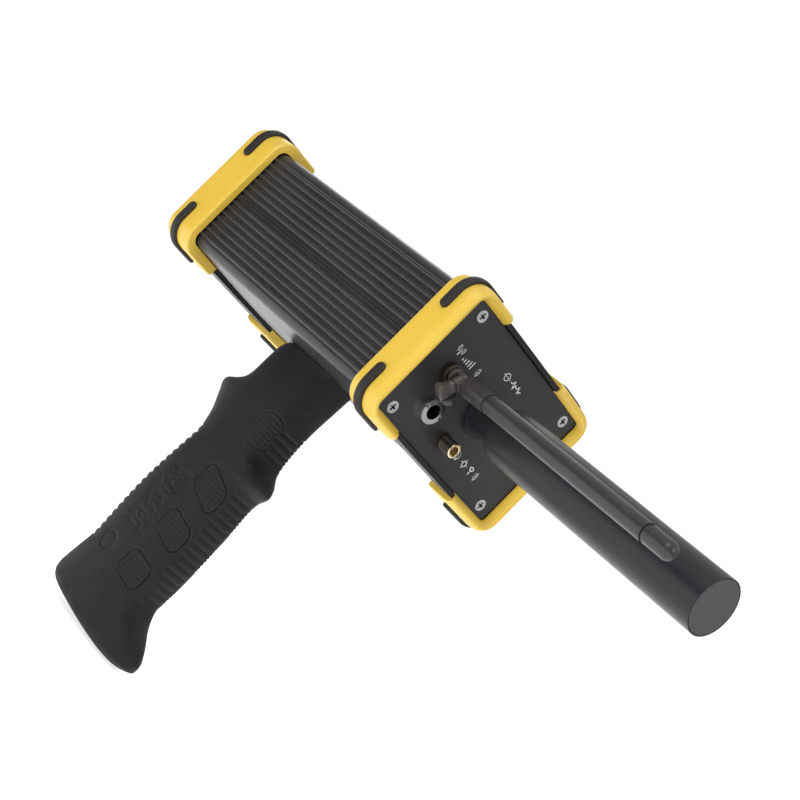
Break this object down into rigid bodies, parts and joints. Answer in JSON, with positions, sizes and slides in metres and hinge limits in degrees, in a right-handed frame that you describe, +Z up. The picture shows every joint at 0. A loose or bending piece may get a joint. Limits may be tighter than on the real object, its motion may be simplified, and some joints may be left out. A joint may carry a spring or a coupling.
{
  "type": "geiger counter",
  "caption": "Hand-held geiger counter: ribbed case with corner bumpers on a pistol grip, a sensor barrel and a folding antenna in front, display and keys at the back.",
  "frame": {"origin": "middle of the hand grip, on the case's middle plane, 112 mm below the axis of the sensor barrel", "axes": "+Y from the front panel to the rear panel, +Z up, +X to the right when seen from the front panel's side looking along +Y"},
  "size_m": [0.1062, 0.3042, 0.2094],
  "materials": {
    "case_black": "black anodised, satin",
    "bezel_black": "satin moulded",
    "bumper_yellow": "satin moulded",
    "strip_rubber": "matt",
    "panel_black": "black anodised, satin",
    "screw_nickel": "bright nickel",
    "connector_brass": "bright",
    "knuckle_grey": "satin",
    "steel": "plain",
    "antenna_black": "satin",
    "sensor_grey": "satin",
    "chrome_ring": "polished",
    "plastic_black": "matt",
    "board_green": "solder mask",
    "cell_sleeve": "shrink sleeve",
    "lead_brown": "smooth",
    "window_glass": "clear",
    "display_grey": "smooth",
    "button_yellow": "satin",
    "rocker_red": "polished",
    "lamp_green": "clear moulded",
    "grip_rubber": "matt"
  },
  "bodies": {
    "instrument": {"housing_upper": "case_black", "housing_lower": "case_black", "front_bezel": "bezel_black", "rear_bezel": "bezel_black", "bumper_front_left": "bumper_yellow", "bumper_front_right": "bumper_yellow", "bumper_rear_left": "bumper_yellow", "bumper_rear_right": "bumper_yellow", "front_bumper_strips": "strip_rubber", "rear_bumper_strips": "strip_rubber", "front_panel": "panel_black", "rear_panel": "panel_black", "front_panel_screws": "screw_nickel", "rear_panel_screws": "screw_nickel", "antenna_jack": "connector_brass", "antenna_coupling": "connector_brass", "sensor_neck": "sensor_grey", "sensor_neck_nut": "steel", "sensor_barrel": "sensor_grey", "sensor_end_cap": "sensor_grey", "gm_tube": "steel", "gm_tube_contacts": "connector_brass", "gm_tube_rings": "strip_rubber", "phones_jack": "chrome_ring", "phones_nut": "chrome_ring", "phones_jack_body": "plastic_black", "positioning_connector": "connector_brass", "positioning_nut": "connector_brass", "main_board": "board_green", "high_voltage_module": "plastic_black", "receiver_module": "steel", "positioning_module": "board_green", "buzzer": "plastic_black", "battery_holder": "plastic_black", "battery_cells": "cell_sleeve", "sensor_lead": "lead_brown", "antenna_lead": "lead_brown", "positioning_lead": "lead_brown", "display_window": "window_glass", "display_module": "display_grey", "button_board": "board_green", "power_switch_frame": "plastic_black", "status_lamp": "lamp_green", "grip_adapter": "steel", "adapter_screws": "screw_nickel", "grip_cover": "grip_rubber", "grip_core": "plastic_black", "grip_bolt": "steel", "grip_washer": "screw_nickel"},
    "antenna_swivel_base": {"antenna_base": "knuckle_grey", "antenna_hinge_pin": "steel"},
    "antenna_whip": {"antenna_knuckle": "antenna_black", "antenna_sleeve": "antenna_black", "antenna_rod": "antenna_black", "antenna_tip": "antenna_black", "antenna_element": "connector_brass"},
    "up_button": {"button_up": "button_yellow"},
    "enter_button": {"button_enter": "button_yellow"},
    "down_button": {"button_down": "button_yellow"},
    "rocker": {"power_rocker": "rocker_red"}
  },
  "joints": [
    {"name": "antenna_swivel", "type": "hinge", "parent": "instrument", "child": "antenna_swivel_base", "pos_m": [-0.03, -0.086, 0.113], "axis": [0, 1, 0], "range_deg": [-90, 90]},
    {"name": "antenna_fold", "type": "hinge", "parent": "antenna_swivel_base", "child": "antenna_whip", "pos_m": [-0.03, -0.09, 0.113], "axis": [-0.4226, 0, -0.9063], "range_deg": [0, 90]},
    {"name": "up_button_press", "type": "slide", "parent": "instrument", "child": "up_button", "axis": [0, -1, 0], "range_m": [0, 0.001], "stiffness_N_per_m": 400},
    {"name": "enter_button_press", "type": "slide", "parent": "instrument", "child": "enter_button", "axis": [0, -1, 0], "range_m": [0, 0.001], "stiffness_N_per_m": 400},
    {"name": "down_button_press", "type": "slide", "parent": "instrument", "child": "down_button", "axis": [0, -1, 0], "range_m": [0, 0.001], "stiffness_N_per_m": 400},
    {"name": "rocker_tilt", "type": "hinge", "parent": "instrument", "child": "rocker", "pos_m": [-0.01, 0.08, 0.092], "axis": [0, 0, 1], "range_deg": [0, 16]}
  ]
}
